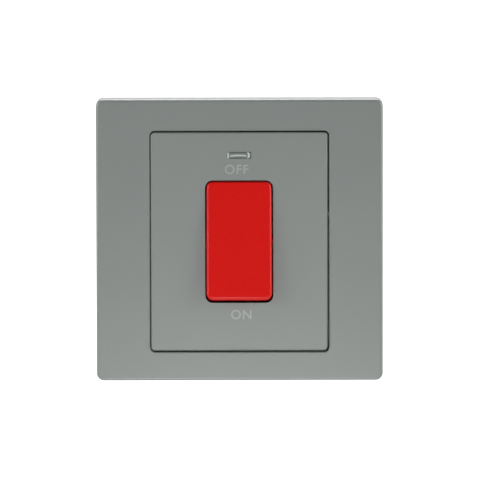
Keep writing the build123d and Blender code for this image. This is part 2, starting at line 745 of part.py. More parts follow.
# The right-hand lead is in two parts with the resistor between them
resistor_start_point = (15.2, -1.4, 22.6)
resistor_run_end = (15.8, 4.0, 10.0)
resistor_run = Vector(*resistor_run_end) - Vector(*resistor_start_point)
resistor_centre = (Vector(*resistor_start_point) + Vector(*resistor_run_end)) * 0.5
resistor_direction = resistor_run.normalized()
resistor_top = resistor_centre - resistor_direction * (resistor_length / 2)
resistor_bottom = resistor_centre + resistor_direction * (resistor_length / 2)
lug_z = -1 - strip_bridge / 2
lead_routes = {
    "lamp_lead_upper": [
        (lamp_right_x, lamp_y, lens_z + lead_spread),
        (10.0, lamp_y, 26.9),
        resistor_start_point,
        tuple(resistor_top),
    ],
    "lamp_lead_lower": [
        tuple(resistor_bottom),
        resistor_run_end,
        (15.0, 7.0, 4.2),
        (11.3, 7.3, lug_z),
        (11.3, strip_y, lug_z),
    ],
    "lamp_lead_left": [
        (lamp_right_x, lamp_y, lens_z - lead_spread),
        (10.2, lamp_y, 25.2),
        (11.2, 1.2, 24.8),
        (7.2, 4.6, 24.4),
        (0.5, 4.9, 24.0),
        (-7.0, 4.4, 23.4),
        (-13.6, 4.2, 20.0),
        (-15.6, 5.0, 12.0),
        (-14.8, 7.0, 5.0),
        (-11.3, 7.3, lug_z),
        (-11.3, strip_y, lug_z),
    ],
}
for name, points in lead_routes.items():
    with BuildPart() as lead:
        with BuildLine() as route:
            FilletPolyline(*points, radius=lead_route(points))
        with BuildSketch(Plane(origin=route.line @ 0, z_dir=route.line % 0)):
            lead_section = RegularPolygon(radius=lead_radius, side_count=wire_sides)
        sweep()
    route_length = sum(edge.length for edge in route.edges())
    fill = lead.part.volume / (lead_section.area * route_length)
    print(name, "length", round(route_length, 1), "volume over section times length", round(fill, 4))
    lead.part.label = name
    export_step(lead.part, f"parts/{name}.step")

# Resistor: a waisted body between two end caps
with BuildPart() as lamp_resistor:
    resistor_plane = Plane(origin=resistor_centre, z_dir=resistor_direction)
    with BuildSketch(resistor_plane.offset(-resistor_length / 2)):
        Circle(resistor_radius)
    extrude(amount=resistor_length)
    for start in (-resistor_length / 2, resistor_length / 2 - resistor_cap):
        with BuildSketch(resistor_plane.offset(start)):
            Circle(resistor_cap_radius)
        extrude(amount=resistor_cap)
lamp_resistor.part.label = "lamp_resistor"
export_step(lamp_resistor.part, "parts/lamp_resistor.step")
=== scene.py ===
import json
import math

import bpy
import numpy as np
from bpy.props import FloatProperty, FloatVectorProperty, IntProperty, PointerProperty, StringProperty
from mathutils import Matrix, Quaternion, Vector


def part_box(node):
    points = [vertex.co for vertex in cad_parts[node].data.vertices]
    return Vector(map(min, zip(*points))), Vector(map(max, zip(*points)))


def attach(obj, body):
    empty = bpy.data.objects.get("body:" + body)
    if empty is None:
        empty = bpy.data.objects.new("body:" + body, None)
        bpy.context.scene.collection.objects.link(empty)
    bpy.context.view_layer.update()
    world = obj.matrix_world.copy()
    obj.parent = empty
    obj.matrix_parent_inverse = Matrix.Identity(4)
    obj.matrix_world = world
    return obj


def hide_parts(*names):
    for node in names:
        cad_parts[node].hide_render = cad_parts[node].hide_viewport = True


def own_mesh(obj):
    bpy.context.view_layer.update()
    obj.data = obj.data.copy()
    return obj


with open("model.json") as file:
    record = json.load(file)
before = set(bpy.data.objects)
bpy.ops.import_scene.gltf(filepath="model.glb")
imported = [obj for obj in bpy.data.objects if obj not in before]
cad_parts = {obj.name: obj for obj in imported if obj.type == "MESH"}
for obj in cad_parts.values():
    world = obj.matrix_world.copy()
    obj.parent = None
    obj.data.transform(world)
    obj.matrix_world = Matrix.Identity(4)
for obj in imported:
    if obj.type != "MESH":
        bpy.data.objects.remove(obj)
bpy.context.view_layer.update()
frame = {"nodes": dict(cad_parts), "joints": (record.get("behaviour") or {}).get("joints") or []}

bl_info = {
    "name": "Double Pole Switch",
    "version": (1, 0, 0),
    "blender": (4, 5, 0),
    "location": "View3D > Sidebar > Switch",
    "description": "Finishes, markings, screw threads and stage for a flush double pole switch",
    "category": "Object",
}

nodes = frame["nodes"]
joints = {joint["name"]: joint for joint in frame["joints"]}

sides = ("left", "right")
circuits = ("supply", "load")

# Measures taken from the frame
fascia_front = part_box("cover_plate")[0].y
rocker_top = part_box("rocker")[1].z
lens_low, lens_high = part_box("neon_lens")
lamp_low, lamp_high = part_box("neon_lamp")

# Most values of a noise texture lie between these two
noise_low, noise_high = 0.3, 0.7

# Height of the grain in a moulding and of the lines in drawn metal
mark_height = 0.00002

# Height of a capital letter as a share of the font's size
capital_share = 0.69


class SwitchColours(bpy.types.PropertyGroup):
    surround: FloatVectorProperty(
        name="Surround", description="Metallic paint of the clip-on surround", subtype="COLOR",
        default=(0.158, 0.171, 0.163), min=0, max=1,
    )
    fascia: FloatVectorProperty(
        name="Fascia", description="Metallic paint of the fascia", subtype="COLOR",
        default=(0.163, 0.177, 0.168), min=0, max=1,
    )
    rocker: FloatVectorProperty(
        name="Rocker", description="Red of the rocker moulding", subtype="COLOR",
        default=(0.405, 0.0035, 0.0025), min=0, max=1,
    )
    housing: FloatVectorProperty(
        name="Housing", description="Thermoset moulding behind the wall", subtype="COLOR",
        default=(0.42, 0.42, 0.405), min=0, max=1,
    )
    brass: FloatVectorProperty(
        name="Brass", description="Machined terminal blocks", subtype="COLOR",
        default=(0.80, 0.58, 0.26), min=0, max=1,
    )
    copper: FloatVectorProperty(
        name="Copper", description="Rolled strip of the arms and bars", subtype="COLOR",
        default=(0.83, 0.42, 0.26), min=0, max=1,
    )
    # Painted light of the lens: painted shade, and painted highlights where the lamp and the lens's ends
    # catch light
    lens_painted_shade: FloatVectorProperty(
        name="Lens, dark", description="Clear lens where the dark inside shows through", subtype="COLOR",
        default=(0.128, 0.141, 0.134), min=0, max=1,
    )
    lens_painted_highlight: FloatVectorProperty(
        name="Lens, bright", description="Clear lens where the lamp and the lens's ends catch light",
        subtype="COLOR", default=(0.41, 0.455, 0.43), min=0, max=1,
    )
    lamp_glass: FloatVectorProperty(
        name="Lamp glass", description="Glass of the neon lamp", subtype="COLOR", default=(0.95, 0.97, 0.96),
        min=0, max=1,
    )
    electrode: FloatVectorProperty(
        name="Electrodes", description="Nickel rods in the lamp", subtype="COLOR", default=(0.80, 0.79, 0.76),
        min=0, max=1,
    )
    lead_wire: FloatVectorProperty(
        name="Lead wire", description="Tinned wires of the lamp", subtype="COLOR", default=(0.66, 0.66, 0.64),
        min=0, max=1,
    )
    lacquer: FloatVectorProperty(
        name="Lacquer", description="Lacquer of the resistor", subtype="COLOR", default=(0.62, 0.50, 0.33),
        min=0, max=1,
    )
    silver: FloatVectorProperty(
        name="Silver", description="Contact rivets", subtype="COLOR", default=(0.86, 0.86, 0.83), min=0,
        max=1,
    )
    nylon: FloatVectorProperty(
        name="Nylon", description="Moulded plungers", subtype="COLOR", default=(0.80, 0.78, 0.70), min=0,
        max=1,
    )
    spring_wire: FloatVectorProperty(
        name="Spring wire", description="Wire of the springs", subtype="COLOR", default=(0.60, 0.60, 0.60),
        min=0, max=1,
    )
    screw_steel: FloatVectorProperty(
        name="Screw steel", description="Plated steel of the screws", subtype="COLOR",
        default=(0.70, 0.69, 0.64), min=0, max=1,
    )


class SwitchMarks(bpy.types.PropertyGroup):
    letter_height: FloatProperty(
        name="Letter height", description="Height of the raised letters", default=0.0027, unit="LENGTH",
    )
    letter_relief: FloatProperty(
        name="Letter relief", description="How far the letters stand out of the fascia", default=0.00006,
        unit="LENGTH",
    )
    # Painted highlight: the letters share the fascia's finish and are painted this much lighter
    tone: FloatProperty(
        name="Letter tone", description="How much lighter the letters are than the fascia", default=1.5,
        min=0.5, max=2,
    )
    stroke: FloatProperty(
        name="Stroke", description="Extra width of the strokes, as a share of the height", default=0.02,
        min=0, max=0.1,
    )
    spacing: FloatProperty(
        name="Letter spacing", description="Width given to each letter, as a share of its own", default=1.1,
        min=0.8, max=2,
    )
    upper_word: StringProperty(name="Upper word", description="Word above the rocker", default="OFF")
    lower_word: StringProperty(name="Lower word", description="Word below the rocker", default="ON")
    upper_centre: FloatVectorProperty(
        name="Upper word's middle", description="Sideways and upwards from the rocker's middle", size=2,
        default=(-0.00072, 0.0217), unit="LENGTH",
    )
    lower_centre: FloatVectorProperty(
        name="Lower word's middle", description="Sideways and upwards from the rocker's middle", size=2,
        default=(0.00057, -0.0219), unit="LENGTH",
    )


class SwitchThreads(bpy.types.PropertyGroup):
    terminal_pitch: FloatProperty(
        name="Terminal pitch", description="Pitch of the terminal screws' thread", default=0.0006,
        unit="LENGTH",
    )
    terminal_crest: FloatProperty(
        name="Terminal crest", description="Outer radius of the terminal screws' thread", default=0.00175,
        unit="LENGTH",
    )
    terminal_core: FloatProperty(
        name="Terminal core", description="Radius of the terminal screws between the threads",
        default=0.00155, unit="LENGTH",
    )
    terminal_plain: FloatProperty(
        name="Terminal plain end", description="Length below the slot that has no thread", default=0.0016,
        unit="LENGTH",
    )
    housing_pitch: FloatProperty(
        name="Housing pitch", description="Pitch of the housing screws' thread", default=0.0009,
        unit="LENGTH",
    )
    housing_crest: FloatProperty(
        name="Housing crest", description="Outer radius of the housing screws' thread", default=0.00102,
        unit="LENGTH",
    )
    housing_core: FloatProperty(
        name="Housing core", description="Radius of the housing screws between the threads", default=0.00085,
        unit="LENGTH",
    )
    housing_length: FloatProperty(
        name="Housing thread", description="Threaded length of the housing screws", default=0.0125,
        unit="LENGTH",
    )
    housing_head: FloatProperty(
        name="Housing head", description="Radius of the housing screws' heads", default=0.0021, unit="LENGTH",
    )
    steps: IntProperty(
        name="Steps a turn", description="Faces round one turn of a thread", default=28, min=12, max=96,
    )


class SwitchSprings(bpy.types.PropertyGroup):
    wire_radius: FloatProperty(
        name="Wire radius", description="Radius of the spring wire", default=0.0002, unit="LENGTH",
    )
    coil_radius: FloatProperty(
        name="Coil radius", description="From the spring's axis to the middle of the wire", default=0.0012,
        unit="LENGTH",
    )
    front_end: FloatProperty(
        name="Front end", description="Middle of the wire at the tower's floor, from the rocker's axis",
        default=-0.00395, unit="LENGTH",
    )
    rear_end: FloatProperty(
        name="Rear end", description="Middle of the wire at the plunger's shoulder, from the rocker's axis",
        default=0.00375, unit="LENGTH",
    )
    turns: IntProperty(
        name="Turns", description="Turns with the closed one at each end", default=7, min=4, max=20,
    )
    steps: IntProperty(name="Steps a turn", description="Faces along one turn", default=36, min=12, max=96)
    closed_rise: FloatProperty(
        name="Closed rise", description="Rise of a closed turn, in wire radii", default=2.1, min=2, max=3,
    )
    faces: IntProperty(name="Faces round", description="Faces round the wire", default=10, min=6, max=32)


class SwitchLamp(bpy.types.PropertyGroup):
    electrode_radius: FloatProperty(
        name="Electrode radius", description="Radius of the two rods in the lamp", default=0.00032,
        unit="LENGTH",
    )
    electrode_spread: FloatProperty(
        name="Electrode spread", description="From the lamp's axis to each rod", default=0.00062,
        unit="LENGTH",
    )
    electrode_share: FloatProperty(
        name="Electrode share",
        description="From the lamp's right end to the rods' far ends, as a share of the lamp's length",
        default=0.76, min=0.1, max=0.95,
    )
    electrode_gap: FloatProperty(
        name="Electrode gap", description="From the lamp's right end to the rods", default=0.0006,
        unit="LENGTH",
    )
    electrode_rows: IntProperty(
        name="Electrode rows", description="Rows of points along a rod", default=12, min=2, max=40,
    )
    electrode_faces: IntProperty(
        name="Electrode faces", description="Faces round a rod", default=16, min=6, max=48,
    )


# Painted light: highlights on the slanted edges of the fascia and the rocker, and a shadow line at the
# rocker's upper end
class SwitchPaintedLight(bpy.types.PropertyGroup):
    # Painted highlights on slanted edges
    fascia_edge_highlight: FloatProperty(
        name="Fascia edges", description="How much lighter the fascia's slanted edges are", default=0.1,
        min=0, max=1,
    )
    rocker_edge_highlight: FloatProperty(
        name="Rocker edges", description="How much lighter the rocker's slanted edges are", default=0.15,
        min=0, max=1,
    )
    # A painted shadow line at the rocker's upper end, where it sinks under the fascia's edge
    shadow_start: FloatProperty(
        name="Shadow start", description="From the rocker's upper end down to where the dark line starts",
        default=0.0006, unit="LENGTH",
    )
    shadow_end: FloatProperty(
        name="Shadow end", description="From the rocker's upper end down to where the line is darkest",
        default=0.0003, unit="LENGTH",
    )
    shadow_tone: FloatProperty(
        name="Shadow tone", description="Tone of the dark line, as a share of the rocker's own", default=0.3,
        min=0, max=1,
    )


class SwitchStage(bpy.types.PropertyGroup):
    distance: FloatProperty(
        name="Camera distance", description="From the camera to the middle of the fascia", default=1.5,
        unit="LENGTH",
    )
    elevation: FloatProperty(
        name="Camera elevation", description="Angle of the camera above the horizon", subtype="ANGLE",
        default=math.radians(5.0),
    )
    roll: FloatProperty(
        name="Camera roll", description="Clockwise turn of the picture", subtype="ANGLE",
        default=math.radians(0.12),
    )
    field: FloatProperty(
        name="Field width", description="Width of the view at the fascia", default=0.1436, unit="LENGTH",
    )
    floor_height: FloatProperty(
        name="Floor height", description="Height of the floor below the rocker's axis", default=-0.25,
        unit="LENGTH",
    )
    fill: FloatProperty(
        name="Fill", description="Strength of the even light from in front", default=0.31, min=0, max=2,
    )
    backdrop: FloatProperty(
        name="Backdrop", description="Strength of the even light from behind", default=0.8, min=0, max=2,
    )
    front_power: FloatProperty(
        name="Front light", description="Power of the low light that makes the face lighter downwards",
        default=0.41, min=0, max=50,
    )
    top_power: FloatProperty(
        name="Top light", description="Power of the large light overhead", default=12.0, min=0, max=50,
    )
    side_power: FloatProperty(
        name="Side lights", description="Power of the soft light on each side", default=8.6, min=0, max=50,
    )
    aim: FloatVectorProperty(
        name="Aim", description="Sideways and upwards from the rocker's axis to the picture's middle", size=2,
        default=(0.00024, 0.00052), unit="LENGTH",
    )
    floor_reach: FloatProperty(
        name="Floor reach", description="From the floor's middle to its edges", default=40.0, unit="LENGTH",
    )
    front_place: FloatVectorProperty(
        name="Front light's place", description="From the rocker's axis", default=(0.0, -0.30, -0.17),
        unit="LENGTH",
    )
    front_width: FloatProperty(
        name="Front light's width", description="Across the lit disc", default=0.14, unit="LENGTH",
    )
    top_place: FloatVectorProperty(
        name="Top light's place", description="From the rocker's axis", default=(0.0, 0.40, 0.78),
        unit="LENGTH",
    )
    top_width: FloatProperty(
        name="Top light's width", description="Across the lit disc", default=0.9, unit="LENGTH",
    )
    side_place: FloatVectorProperty(
        name="Side lights' place", description="Of the right one, which the left one mirrors",
        default=(0.95, -0.45, 0.28), unit="LENGTH",
    )
    side_width: FloatProperty(
        name="Side lights' width", description="Across the lit disc", default=0.6, unit="LENGTH",
    )


# Node trees


def new_material(name):
    """An empty node material with its output and one Principled shader."""
    material = bpy.data.materials.new(name)
    material.use_nodes = True
    tree = material.node_tree
    tree.nodes.clear()
    output = tree.nodes.new("ShaderNodeOutputMaterial")
    shader = tree.nodes.new("ShaderNodeBsdfPrincipled")
    tree.links.new(shader.outputs["BSDF"], output.inputs["Surface"])
    return material, tree, shader


def set_values(shader, **values):
    """Plain values on a shader's own sockets; an underscore in a name stands for a space."""
    for name, value in values.items():
        socket = shader.inputs[name.replace("_", " ")]
        if socket.type == "RGBA":
            value = (*value, 1.0)
        socket.default_value = value


def feed(tree, socket, side):
    """Joins another socket to this one, or gives it a plain value."""
    if isinstance(side, bpy.types.NodeSocket):
        tree.links.new(side, socket)
    else:
        socket.default_value = side


def object_place(tree):
    """Where a point lies on its piece."""
    return tree.nodes.new("ShaderNodeTexCoord").outputs["Object"]


def axes(tree, vector):
    """A vector's X, Y and Z, each a socket of its own."""
    split = tree.nodes.new("ShaderNodeSeparateXYZ")
    tree.links.new(vector, split.inputs["Vector"])
    return split.outputs


def noise(tree, vector, scale, detail=2.0, roughness=0.5):
    """A noise texture; its scale is a socket or a number."""
    node = tree.nodes.new("ShaderNodeTexNoise")
    feed(tree, node.inputs["Scale"], scale)
    node.inputs["Detail"].default_value = detail
    node.inputs["Roughness"].default_value = roughness
    tree.links.new(vector, node.inputs["Vector"])
    return node.outputs["Fac"]


def maths(tree, operation, *values):
    """A Math node; each value is a socket or a number."""
    node = tree.nodes.new("ShaderNodeMath")
    node.operation = operation
    for socket, value in zip(node.inputs, values):
        feed(tree, socket, value)
    return node.outputs["Value"]


def product(tree, first, *others):
    """The values multiplied together."""
    for other in others:
        first = maths(tree, "MULTIPLY", first, other)
    return first


def vectors(tree, operation, first, second, result="Vector"):
    """A Vector Math node; each side is a socket or a plain vector."""
    node = tree.nodes.new("ShaderNodeVectorMath")
    node.operation = operation
    feed(tree, node.inputs[0], first)
    feed(tree, node.inputs[1], second)
    return node.outputs[result]


def shaded(tree, colour, factor):
    """A colour times a factor."""
    node = tree.nodes.new("ShaderNodeVectorMath")
    node.operation = "SCALE"
    tree.links.new(colour, node.inputs[0])
    tree.links.new(factor, node.inputs["Scale"])
    return node.outputs["Vector"]


def blended(tree, factor, first, second):
    """The first colour where the factor is nought and the second where it is one."""
    mix = tree.nodes.new("ShaderNodeMix")
    mix.data_type = "RGBA"
    feed(tree, mix.inputs["A"], first)
    feed(tree, mix.inputs["B"], second)
    tree.links.new(factor, mix.inputs["Factor"])
    return mix.outputs["Result"]


def ranged(tree, value, start, end, low, high, curve="LINEAR"):
    """Takes the range start to end over to the range low to high and stays inside it."""
    node = tree.nodes.new("ShaderNodeMapRange")
    node.interpolation_type = curve
    node.inputs["From Min"].default_value = start
    node.inputs["From Max"].default_value = end
    feed(tree, node.inputs["To Min"], low)
    feed(tree, node.inputs["To Max"], high)
    tree.links.new(value, node.inputs["Value"])
    return node.outputs["Result"]


def spread(tree, value, low, high):
    """Takes the values of a noise over to the range low to high."""
    return ranged(tree, value, noise_low, noise_high, low, high)


def soft_step(tree, value, outer, inner):
    """One where the value is below `inner`, nought where it is above `outer`, smooth between them."""
    return ranged(tree, value, outer, inner, 0.0, 1.0, "SMOOTHSTEP")


def near(tree, value, middle, rim, core):
    """One where the value is within `core` of the middle, nought where it is past `rim`."""
    distance = maths(tree, "ABSOLUTE", maths(tree, "SUBTRACT", value, middle))
    return soft_step(tree, distance, rim, core)


def bumped(tree, strength, height):
    """The normal of a surface that rises with a height."""
    node = tree.nodes.new("ShaderNodeBump")
    node.inputs["Distance"].default_value = mark_height
    tree.links.new(strength, node.inputs["Strength"])
    tree.links.new(height, node.inputs["Height"])
    return node.outputs["Normal"]


# Shader node groups, built once and shared by the materials

surface_results = [
    ("Colour", "NodeSocketColor"), ("Roughness", "NodeSocketFloat"), ("Normal", "NodeSocketVector"),
]


def new_group(name, inputs, outputs):
    """A shader node group with named sockets, its input and output nodes in place."""
    tree = bpy.data.node_groups.new(name, "ShaderNodeTree")
    for socket_name, kind, default in inputs:
        socket = tree.interface.new_socket(name=socket_name, in_out="INPUT", socket_type=kind)
        socket.default_value = default
    for socket_name, kind in outputs:
        tree.interface.new_socket(name=socket_name, in_out="OUTPUT", socket_type=kind)
    given = tree.nodes.new("NodeGroupInput").outputs
    results = tree.nodes.new("NodeGroupOutput").inputs
    return tree, given, results


def grain_group():
    """Moulded grain: fine noise for the height, slow noise for tone, roughness that drifts with it."""
    tree, given, results = new_group(
        "moulded_grain",
        [
            ("Colour", "NodeSocketColor", (0.5, 0.5, 0.5, 1)),
            ("Grain size", "NodeSocketFloat", 3000.0),
            ("Drift", "NodeSocketFloat", 0.04),
            ("Roughness low", "NodeSocketFloat", 0.35),
            ("Roughness high", "NodeSocketFloat", 0.45),
            ("Bump", "NodeSocketFloat", 0.1),
        ],
        surface_results,
    )
    place = object_place(tree)
    fine = noise(tree, place, given["Grain size"])
    slow = noise(tree, place, scale=38.0, detail=3.0)
    drift = product(tree, maths(tree, "SUBTRACT", slow, 0.5), given["Drift"])
    colour = shaded(tree, given["Colour"], maths(tree, "ADD", drift, 1.0))
    tree.links.new(colour, results["Colour"])
    tree.links.new(spread(tree, fine, given["Roughness low"], given["Roughness high"]), results["Roughness"])
    tree.links.new(bumped(tree, given["Bump"], fine), results["Normal"])


def edge_highlight_group():
    """Painted highlight: lightens slanted faces, such as chamfers and rounded edges, unevenly along them.

    With f the share of the surface's own normal that points to the front, squared, the mask is 4 f (1 - f):
    one on a face that leans 45 degrees, nought on the front and on a wall square to it.
    """
    tree, given, results = new_group(
        "edge_wear", [("Colour", "NodeSocketColor", (0.5, 0.5, 0.5, 1)), ("Gain", "NodeSocketFloat", 0.0)],
        [("Colour", "NodeSocketColor")],
    )
    facing = axes(tree, tree.nodes.new("ShaderNodeTexCoord").outputs["Normal"])["Y"]
    front = product(tree, facing, facing)
    mask = product(tree, front, maths(tree, "SUBTRACT", 1.0, front), 4.0)
    uneven = spread(tree, noise(tree, object_place(tree), scale=420.0, detail=3.0), 0.7, 1.2)
    gain = product(tree, mask, uneven, given["Gain"])
    tree.links.new(shaded(tree, given["Colour"], maths(tree, "ADD", gain, 1.0)), results["Colour"])


def brush_group():
    """Brushed or rolled metal: noise stretched along one axis drives tone, roughness and height."""
    tree, given, results = new_group(
        "drawn_metal",
        [
            ("Colour", "NodeSocketColor", (0.5, 0.5, 0.5, 1)),
            ("Stretch", "NodeSocketVector", (900.0, 900.0, 60.0)),
            ("Tarnish", "NodeSocketFloat", 0.2),
            ("Roughness low", "NodeSocketFloat", 0.2),
            ("Roughness high", "NodeSocketFloat", 0.4),
            ("Bump", "NodeSocketFloat", 0.15),
        ],
        surface_results,
    )
    place = object_place(tree)
    stretched = vectors(tree, "MULTIPLY", place, given["Stretch"])
    lines = noise(tree, stretched, scale=1.0, detail=3.0, roughness=0.6)
    stain = noise(tree, place, scale=260.0, detail=4.0, roughness=0.6)
    tarnish = product(tree, spread(tree, stain, 0.0, 1.0), given["Tarnish"])
    colour = shaded(tree, given["Colour"], maths(tree, "SUBTRACT", 1.0, tarnish))
    tree.links.new(colour, results["Colour"])
    tree.links.new(spread(tree, lines, given["Roughness low"], given["Roughness high"]), results["Roughness"])
    tree.links.new(bumped(tree, given["Bump"], lines), results["Normal"])


# Materials


def use_group(tree, shader, group, **values):
    """Places a group by its name and joins its colour, roughness and normal to the shader."""
    node = tree.nodes.new("ShaderNodeGroup")
    node.node_tree = bpy.data.node_groups[group]
    for name, value in values.items():
        node.inputs[name.replace("_", " ")].default_value = value
    tree.links.new(node.outputs["Colour"], shader.inputs["Base Color"])
    tree.links.new(node.outputs["Roughness"], shader.inputs["Roughness"])
    tree.links.new(node.outputs["Normal"], shader.inputs["Normal"])
    return node


def moulded(name, colour, grain, low, high, bump, drift=0.04, painted_light=0.0, **values):
    """A moulded plastic with its own colour, grain and gloss, and a painted highlight on its slanted edges,
    set by `painted_light`.

    `low` and `high` bound its roughness. `values` go to the shader's own sockets.
    """
    material, tree, shader = new_material(name)
    surface = use_group(
        tree, shader, "moulded_grain", Colour=(*colour, 1), Grain_size=grain, Drift=drift, Roughness_low=low,
        Roughness_high=high, Bump=bump,
    )
    # Painted highlight on the slanted edges
    highlighted = tree.nodes.new("ShaderNodeGroup")
    highlighted.node_tree = bpy.data.node_groups["edge_wear"]
    highlighted.inputs["Gain"].default_value = painted_light
    tree.links.new(surface.outputs["Colour"], highlighted.inputs["Colour"])
    tree.links.new(highlighted.outputs["Colour"], shader.inputs["Base Color"])
    set_values(shader, **values)
    return material


def painted_shadow_end(material, start, end, tone):
    """Painted shadow: darkens a material's colour upwards from z = start to z = end, down to `tone` times its
    own.
    """
    tree = material.node_tree
    base = tree.nodes["Principled BSDF"].inputs["Base Color"]
    unshaded = soft_step(tree, axes(tree, object_place(tree))["Z"], end, start)
    factor = maths(tree, "ADD", product(tree, unshaded, 1.0 - tone), tone)
    tree.links.new(shaded(tree, base.links[0].from_socket, factor), base)


def metal(name, colour, stretch, low, high, bump=0.15, tarnish=0.2):
    """A bare metal with marks along one axis; `low` and `high` bound its roughness."""
    material, tree, shader = new_material(name)
    use_group(
        tree, shader, "drawn_metal", Colour=(*colour, 1), Stretch=stretch, Tarnish=tarnish, Roughness_low=low,
        Roughness_high=high, Bump=bump,
    )
    set_values(shader, Metallic=1.0)
    return material


def clear(name, colour, roughness, ior):
    """Clear glass with faint unevenness in its gloss."""
    material, tree, shader = new_material(name)
    uneven = noise(tree, object_place(tree), scale=900.0)
    tree.links.new(spread(tree, uneven, roughness * 0.6, roughness * 1.4), shader.inputs["Roughness"])
    set_values(shader, Base_Color=colour, Metallic=0.0, Transmission_Weight=1.0, IOR=ior)
    return material


def lens_material(name, dark, bright):
    """Clear lens over its lamp, its light painted in: painted highlights where the lamp and the lens's ends
    catch light, painted shade between.

    Across and upwards are measured from the lens's middle, in half widths and half heights of the pattern.
    A bright band follows the lamp and sags by the square of the distance across. One upright bar stands at
    each end, and the right one bends by the square of the distance upwards.
    """
    half_width = (lens_high.x - lens_low.x) / 2 * 0.84
    half_height = 0.001
    sag, bend = 0.30, 0.12
    band_level, band_rim, band_core = -0.02, 0.34, 0.10
    band_middle, band_end, band_full = -0.05, 0.74, 0.58
    left_bar, right_bar, bar_rim, bar_core = -0.91, 0.82, 0.12, 0.03

    material, tree, shader = new_material(name)
    place = object_place(tree)
    level = maths(tree, "SUBTRACT", axes(tree, place)["Z"], (lens_low.z + lens_high.z) / 2)
    across = maths(tree, "DIVIDE", axes(tree, place)["X"], half_width)
    upwards = maths(tree, "DIVIDE", level, half_height)
    sagged = maths(tree, "ADD", upwards, product(tree, across, across, sag))
    bent = maths(tree, "ADD", across, product(tree, upwards, upwards, bend))
    band = product(
        tree, near(tree, sagged, band_level, band_rim, band_core),
        near(tree, across, band_middle, band_end, band_full),
    )
    left = near(tree, across, left_bar, bar_rim, bar_core)
    right = near(tree, bent, right_bar, bar_rim, bar_core)
    # Painted highlights: the band and the two end bars, made uneven by noise
    lit = maths(tree, "MAXIMUM", band, maths(tree, "MAXIMUM", left, right))
    highlight_noise = spread(tree, noise(tree, place, scale=2600.0), 0.86, 1.12)
    colour = blended(tree, product(tree, lit, highlight_noise), (*dark, 1), (*bright, 1))
    tree.links.new(colour, shader.inputs["Base Color"])
    tree.links.new(spread(tree, noise(tree, place, scale=900.0), 0.08, 0.16), shader.inputs["Roughness"])
    set_values(shader, Transmission_Weight=0.2, IOR=1.49)
    return material


def banded(name, colour):
    """Lacquer with three plain bands round the resistor, set by the distance along its own axis.

    The axis is the direction in which its points spread most.
    """
    pitch, half_band = 0.0011, 0.0003
    paints = {1: (0.16, 0.05, 0.02), 0: (0.5, 0.30, 0.02), -1: (0.06, 0.05, 0.05)}
    points = np.array([point.co for point in nodes["lamp_resistor"].data.vertices])
    centre = (points.min(axis=0) + points.max(axis=0)) / 2
    axis = np.linalg.svd(points - centre, full_matrices=False)[2][0]

    material, tree, shader = new_material(name)
    place = object_place(tree)
    along = vectors(tree, "DOT_PRODUCT", vectors(tree, "SUBTRACT", place, centre), axis, "Value")
    painted = (*colour, 1)
    for step, paint in paints.items():
        inside = maths(tree, "COMPARE", along, step * pitch, half_band)
        painted = blended(tree, inside, painted, (*paint, 1))
    tree.links.new(painted, shader.inputs["Base Color"])
    tree.links.new(spread(tree, noise(tree, place, scale=1800.0), 0.2, 0.34), shader.inputs["Roughness"])
    return material


def dress(node_name, material):
    """Puts one material in every slot of a CAD node."""
    node = nodes[node_name]
    if not node.data.materials:
        node.data.materials.append(material)
    for index in range(len(node.data.materials)):
        node.data.materials[index] = material


# Surfaces


def new_piece(name, mesh):
    """An object of a mesh, at the origin."""
    piece = bpy.data.objects.new(name, mesh)
    bpy.context.scene.collection.objects.link(piece)
    return piece


def grid_mesh(name, points, closed=False, caps=()):
    """A smooth piece on a grid of points, shape (rows, columns, 3), with a face between each four.

    `closed` joins each row's end to its start. `caps` are the rows that a fan of triangles fills.
    """
    rows, columns = points.shape[:2]
    vertices = points.reshape(-1, 3)
    row_starts = np.arange(rows - 1) * columns
    start, left = np.meshgrid(row_starts, np.arange(columns if closed else columns - 1), indexing="ij")
    right = (left + 1) % columns
    corners = [start + left, start + right, start + columns + right, start + columns + left]
    faces = np.stack(corners, axis=-1).reshape(-1, 4).tolist()
    for row in caps:
        centre = np.full(columns, len(vertices))
        vertices = np.vstack([vertices, points[row].mean(axis=0)])
        first = (row % rows) * columns + np.arange(columns)
        second = np.roll(first, -1)
        fan = [second, first, centre] if row == 0 else [first, second, centre]
        faces += np.stack(fan, axis=-1).tolist()
    mesh = bpy.data.meshes.new(name)
    mesh.from_pydata(vertices.tolist(), [], faces)
    mesh.validate()
    mesh.update()
    mesh.shade_smooth()
    return new_piece(name, mesh)


def letters(name, word, centre, marks):
    """Raised letters: text made a mesh, centred on (x, z), that stands out of the fascia's front."""
    curve = bpy.data.curves.new(name + "_text", "FONT")
    curve.body = word
    curve.align_x = "CENTER"
    curve.align_y = "CENTER"
    curve.size = marks.letter_height / capital_share
    curve.space_character = marks.spacing
    curve.extrude = marks.letter_relief
    curve.offset = marks.letter_height * marks.stroke
    curve.resolution_u = 6
    text = bpy.data.objects.new(name + "_text", curve)
    bpy.context.scene.collection.objects.link(text)
    bpy.context.view_layer.update()
    mesh = bpy.data.meshes.new_from_object(text.evaluated_get(bpy.context.evaluated_depsgraph_get()))
    bpy.data.objects.remove(text)
    bpy.data.curves.remove(curve)
    points = np.zeros(len(mesh.vertices) * 3)
    mesh.vertices.foreach_get("co", points)
    points = points.reshape(-1, 3)
    middle = (points.min(axis=0) + points.max(axis=0)) / 2
    across = centre[0] + points[:, 0] - middle[0]
    upwards = centre[1] + points[:, 1] - middle[1]
    upright = np.stack([across, fascia_front - points[:, 2], upwards], axis=1)
    mesh.vertices.foreach_set("co", upright.ravel())
    mesh.update()
    mesh.name = name
    return new_piece(name, mesh)


